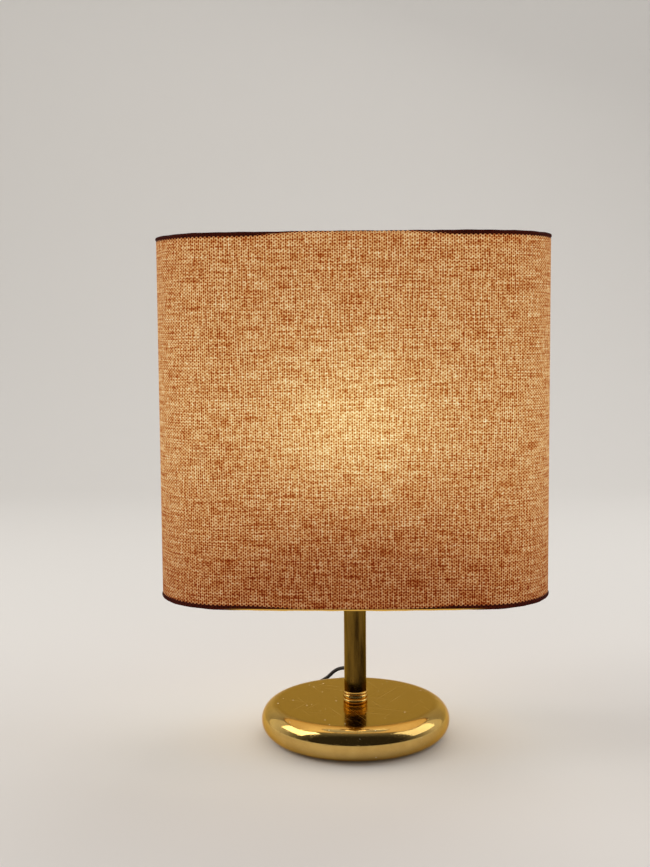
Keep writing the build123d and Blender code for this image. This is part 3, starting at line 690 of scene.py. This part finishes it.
def shadeOutline(inset):
    setup = outlineSetup
    cornerX = setup["halfWidth"] - setup["corner"]
    bowBack = setup["bow"] - setup["halfDepth"]
    cornerY = math.sqrt((setup["bow"] - setup["corner"]) ** 2 - cornerX**2) - bowBack
    bowTurn = math.atan2(cornerX, cornerY + bowBack)
    quarter = math.pi / 2

    def arc(centre, radius, start, end, steps):
        turns = [start + (end - start) * step / steps for step in range(steps)]
        return [(centre[0] + radius * math.cos(turn), centre[1] + radius * math.sin(turn)) for turn in turns]

    def straight(start, end, steps):
        return [
            (start[0] + (end[0] - start[0]) * step / steps, start[1] + (end[1] - start[1]) * step / steps)
            for step in range(steps)
        ]

    bow, corner = setup["bow"] - inset, setup["corner"] - inset
    half = setup["bowSteps"] // 2
    side = setup["halfWidth"] - inset
    # from the rear seam, round by the left
    points = arc((0, -bowBack), bow, quarter, quarter + bowTurn, half)
    points += arc((-cornerX, cornerY), corner, quarter + bowTurn, 2 * quarter, setup["cornerSteps"])
    points += straight((-side, cornerY), (-side, -cornerY), setup["endSteps"])
    points += arc((-cornerX, -cornerY), corner, 2 * quarter, 3 * quarter - bowTurn, setup["cornerSteps"])
    points += arc((0, bowBack), bow, 3 * quarter - bowTurn, 3 * quarter + bowTurn, 2 * half)
    points += arc((cornerX, -cornerY), corner, 3 * quarter + bowTurn, 4 * quarter, setup["cornerSteps"])
    points += straight((side, -cornerY), (side, cornerY), setup["endSteps"])
    points += arc((cornerX, cornerY), corner, 0, quarter - bowTurn, setup["cornerSteps"])
    points += arc((0, -bowBack), bow, quarter - bowTurn, quarter, half)
    return points


def lengthsAround(points):
    total = [0.0]
    for here, there in zip(points, points[1:] + points[:1]):
        total.append(total[-1] + math.dist(here, there))
    return total


outlineLengths = lengthsAround(shadeOutline(0))
swayWaves = ((61, 0.0), (137, 1.3), (311, 0.4))  # how fast each wave runs round, and where it starts


# A profile of (inset, height, sway) carried round the outline, laid out flat for the weave
def sweepAround(name, profile, finish):
    rings = [shadeOutline(inset) for inset, _, _ in profile]
    columns, rows = len(rings[0]), len(profile)
    vertices = []
    for column in range(columns):
        along = outlineLengths[column]
        waver = sum(math.sin(along * rate + start) for rate, start in swayWaves)
        for row, (_, height, sway) in enumerate(profile):
            vertices.append((*rings[row][column], height + sway * waver / len(swayWaves)))
    across = [0.0]
    for here, there in zip(profile, profile[1:] + profile[:1]):
        across.append(across[-1] + math.hypot(there[0] - here[0], there[1] - here[1]))
    faces = []
    maps = []
    for column in range(columns):
        here, there = column * rows, (column + 1) % columns * rows
        start, end = outlineLengths[column], outlineLengths[column + 1]
        for row in range(rows):
            nextRow = (row + 1) % rows
            faces.append((here + row, there + row, there + nextRow, here + nextRow))
            low, high = across[row], across[row + 1]
            maps += [(start, low), (end, low), (end, high), (start, high)]
    piece = addPiece(name, vertices, faces, finish, sharpEdge)
    layer = piece.data.uv_layers.new(name="cloth")
    layer.uv.foreach_set("vector", [part for pair in maps for part in pair])
    return piece


# Cloth of the shade: one sheet round the outline, joined at the rear
sheetSetup = {"thickness": 0.0008}


def makeShadeCloth(setup):
    low, high, inner = shadeLow.z, shadeHigh.z, setup["thickness"]
    profile = [(0.0, low, 0.0), (inner, low, 0.0), (inner, high, 0.0), (0.0, high, 0.0)]
    piece = sweepAround("shade_cloth", profile, finishes["shade_weave"])
    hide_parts("shade_fabric")
    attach(piece, "shade")
    return piece


# Hems: the cloth's edge folded in over the wire ring, a narrow lip outside and a deeper leg inside
hemSetup = {
    "proud": 0.00065,
    "wall": 0.0014,
    "cloth": 0.0006,
    "clear": 0.00005,
    "lip": 0.0018,
    "leg": 0.007,
    "foldSteps": 8,
    "sway": 0.00025,
}


def makeHem(setup, name, node, edge, direction):
    outer, inner = -setup["proud"], setup["wall"] + setup["cloth"]
    middle, radius = (outer + inner) / 2, (inner - outer) / 2
    corners = [(outer, setup["lip"])]
    for step in range(setup["foldSteps"] + 1):
        turn = math.pi * step / setup["foldSteps"]
        corners.append((middle - radius * math.cos(turn), radius * (1 - math.sin(turn))))
    corners += [(inner, setup["leg"]), (setup["wall"], setup["leg"]), (setup["wall"], setup["cloth"])]
    corners += [(-setup["clear"], setup["cloth"]), (-setup["clear"], setup["lip"])]
    profile = [(inset, edge + direction * depth, setup["sway"]) for inset, depth in corners]
    if direction > 0:
        profile.reverse()
    piece = sweepAround(name, profile, finishes["shade_hem"])
    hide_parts(node)
    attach(piece, "shade")
    return piece


shadeCloth = makeShadeCloth(sheetSetup)
hemTop = makeHem(hemSetup, "hem_top", "shade_hem_top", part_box("shade_hem_top")[1].z, -1)
hemBottom = makeHem(hemSetup, "hem_bottom", "shade_hem_bottom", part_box("shade_hem_bottom")[0].z, 1)


# Cord: out of the strain relief, down behind the base, into a flat two-layer coil and on to the plug
cordSetup = {
    "diameter": 0.0036,
    "length": 1.715,
    "exit": (0.0, 0.10862, 0.02143),
    "lead": [
        (0.0, 0.1185, 0.0228),
        (-0.0045, 0.1287, 0.0228),
        (-0.0125, 0.1350, 0.0226),
        (-0.0210, 0.1390, 0.0188),
        (-0.0290, 0.1412, 0.0100),
        (-0.0400, 0.1392, 0.0046),
        (-0.0524, 0.1305, 0.0036),
        (-0.0622, 0.1166, 0.0028),
        (-0.0636, 0.1007, 0.0027),
        (-0.0566, 0.0886, 0.0027),
        (-0.0439, 0.0832, 0.0027),
        (-0.0250, 0.0852, 0.0027),
        (-0.0096, 0.0852, 0.0027),
    ],
    "coilX": -0.006,
    "coilNear": 0.0852,
    "coilRadius": 0.033,
    "pitch": 0.00375,
    "low": 0.0027,
    "layer": 0.0042,
    "halvesIn": 13,
    "halvesOut": 10,
    "pointsPerHalf": 8,
    "leave": 0.0089,
    "tail": [(0.0155, 0.0915, 0.00675), (0.0240, 0.0915, 0.00675)],
    "roundSteps": 5,
    "runSteps": 6,
}


def coilPoints(setup):
    points = []
    steps = setup["pointsPerHalf"]
    swell = 1 / (0.75 + 0.25 * math.cos(math.pi / steps))  # the spline runs inside its points
    side, y, z = 1, setup["coilNear"], setup["low"]
    halves = [(setup["coilRadius"] - half * setup["pitch"] / 2, 0.0) for half in range(setup["halvesIn"])]
    inner = setup["coilRadius"] - setup["halvesIn"] * setup["pitch"] / 2
    halves.append((inner, setup["layer"]))
    halves += [(inner + (half + 1) * setup["pitch"] / 2, 0.0) for half in range(setup["halvesOut"])]
    for radius, rise in halves:
        for step in range(steps):
            share = (step + 0.5) / steps
            turn = math.pi * (share - 0.5)
            points.append((
                setup["coilX"] + side * radius * swell * math.cos(turn),
                y + side * radius * (1 + swell * math.sin(turn)),
                z + rise * share,
            ))
        y += side * 2 * radius
        z += rise
        side = -side
    return points, (setup["coilX"] + setup["diameter"], y, z)


# Tie pulled round one side of the coil: the outermost cord centres it goes over, and its own band
tieSetup = {
    "over": ((-0.0371, 0.0027), (-0.0334, 0.0069), (-0.0184, 0.0069), (-0.0146, 0.0048), (-0.0184, 0.0027)),
    "y": 0.1182,
    "width": 0.005,
    "thickness": 0.0006,
    "slack": 0.0002,
    "steps": 64,
}


def makeTie(setup):
    inner = cordSetup["diameter"] / 2 + setup["slack"]
    outer = inner + setup["thickness"]
    half = setup["width"] / 2
    section = [(inner, -half), (inner, half), (outer, half), (outer, -half)]
    vertices = []
    for step in range(setup["steps"]):
        turn = 2 * math.pi * step / setup["steps"]
        outX, outZ = math.cos(turn), math.sin(turn)
        x, z = max(setup["over"], key=lambda centre: centre[0] * outX + centre[1] * outZ)
        vertices += [(x + reach * outX, setup["y"] + along, z + reach * outZ) for reach, along in section]
    sides, count = len(section), len(vertices)
    faces = []
    for first in range(0, count, sides):
        for side in range(sides):
            here, there = first + side, first + (side + 1) % sides
            faces.append((here, there, (there + sides) % count, (here + sides) % count))
    piece = addPiece("tie", vertices, faces, finishes["tie"], sharpEdge)
    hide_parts("coil_tie")
    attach(piece, "lamp")
    return piece


def makeCord(setup, tie):
    turns, coilEnd = coilPoints(setup)
    leaving = (coilEnd[0] + setup["leave"], *coilEnd[1:])
    route = [setup["exit"], *setup["lead"], *turns, coilEnd, leaving, *setup["tail"]]
    data = bpy.data.curves.new("cord", "CURVE")
    data.dimensions = "3D"
    data.bevel_depth = setup["diameter"] / 2
    data.bevel_resolution = setup["roundSteps"]
    data.use_fill_caps = True
    spline = data.splines.new("NURBS")
    spline.points.add(len(route) - 1)
    for point, place in zip(spline.points, route):
        point.co = (*place, 1)
    spline.order_u = 3
    spline.use_endpoint_u = True
    spline.resolution_u = setup["runSteps"]
    data.materials.append(finishes["cord"])
    piece = bpy.data.objects.new("cord", data)
    scene.collection.objects.link(piece)
    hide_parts("cord_lead", "cord_coil", "cord_tail")
    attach(piece, "lamp")


makeCord(cordSetup, makeTie(tieSetup))
print("cord laid")


# Pale floor that curves up into a backdrop
stageSetup = {
    "width": 6.0,
    "front": -3.0,
    "back": 1.6,
    "bend": 0.9,
    "bendSteps": 16,
    "top": 3.2,
    "colour": (0.78, 0.76, 0.73, 1),
    "rough": 0.9,
}


def makeStage(setup):
    line = [(setup["front"], 0.0), (setup["back"], 0.0)]
    for step in range(1, setup["bendSteps"] + 1):
        turn = math.pi / 2 * step / setup["bendSteps"]
        line.append((setup["back"] + setup["bend"] * math.sin(turn), setup["bend"] * (1 - math.cos(turn))))
    line.append((setup["back"] + setup["bend"], setup["top"]))
    half = setup["width"] / 2
    vertices = [(side * half, y, z) for y, z in line for side in (-1, 1)]
    faces = [(2 * row, 2 * row + 1, 2 * row + 3, 2 * row + 2) for row in range(len(line) - 1)]
    material, _, shader = newTree("floor")
    shader.inputs["Base Color"].default_value = setup["colour"]
    shader.inputs["Roughness"].default_value = setup["rough"]
    addPiece("floor", vertices, faces, material)


# Soft studio lamps, and the warm light of the bulb itself
lampSetup = {
    "key": {"place": (-2.0, -0.1, 1.7), "size": 1.6, "power": 26.0, "colour": (1.0, 0.97, 0.93)},
    "fill": {"place": (2.0, 0.1, 1.5), "size": 1.8, "power": 14.0, "colour": (0.96, 0.97, 1.0)},
    "rim": {"place": (0.6, 1.3, 2.0), "size": 1.4, "power": 12.0, "colour": (1.0, 0.98, 0.95)},
}
lampAim = Vector((0, 0, 0.2))
bulbLight = {"place": (0, 0, 0.301), "radius": 0.032, "power": 0.15, "colour": (1.0, 0.72, 0.40)}


def addLight(name, kind, lamp):
    data = bpy.data.lights.new(name, kind)
    data.energy = lamp["power"]
    data.color = lamp["colour"]
    light = bpy.data.objects.new(name, data)
    light.location = lamp["place"]
    scene.collection.objects.link(light)
    return light


def makeLamps(setup):
    for name, lamp in setup.items():
        light = addLight(name, "AREA", lamp)
        light.data.size = lamp["size"]
        aim = lampAim - Vector(lamp["place"])
        light.rotation_euler = aim.to_track_quat("-Z", "Y").to_euler()


def makeBulbLight(setup):
    light = addLight("bulb_light", "POINT", setup)
    light.data.shadow_soft_size = setup["radius"]


# Even light all round; polished metal mirrors a studio that is dim in front and pale at the back
worldSetup = {
    "ambient": (0.46, 0.45, 0.44, 1),
    "front": (0.03, 0.027, 0.024, 1),
    "pale": (0.80, 0.78, 0.75, 1),
    "blend": (-0.6, 0.6),
}


def makeWorld(setup):
    world = bpy.data.worlds.new("studio")
    world.use_nodes = True
    tree = world.node_tree
    background = tree.nodes["Background"]
    toward = axes(tree, addNode(tree, "ShaderNodeTexCoord").outputs["Generated"])
    rearward = remap(tree, toward["Y"], *setup["blend"], smooth=True)
    room = mixColour(tree, rearward, setup["front"], setup["pale"])
    path = addNode(tree, "ShaderNodeLightPath").outputs
    mirrored = calc(tree, "MAXIMUM", path["Is Glossy Ray"], path["Is Transmission Ray"])
    shown = mixColour(tree, mirrored, setup["ambient"], room)
    seen = mixColour(tree, path["Is Camera Ray"], shown, setup["pale"])
    wire(tree, seen, background.inputs["Color"])
    scene.world = world


makeStage(stageSetup)
makeLamps(lampSetup)
makeBulbLight(bulbLight)
makeWorld(worldSetup)
print("stage and lamps set")
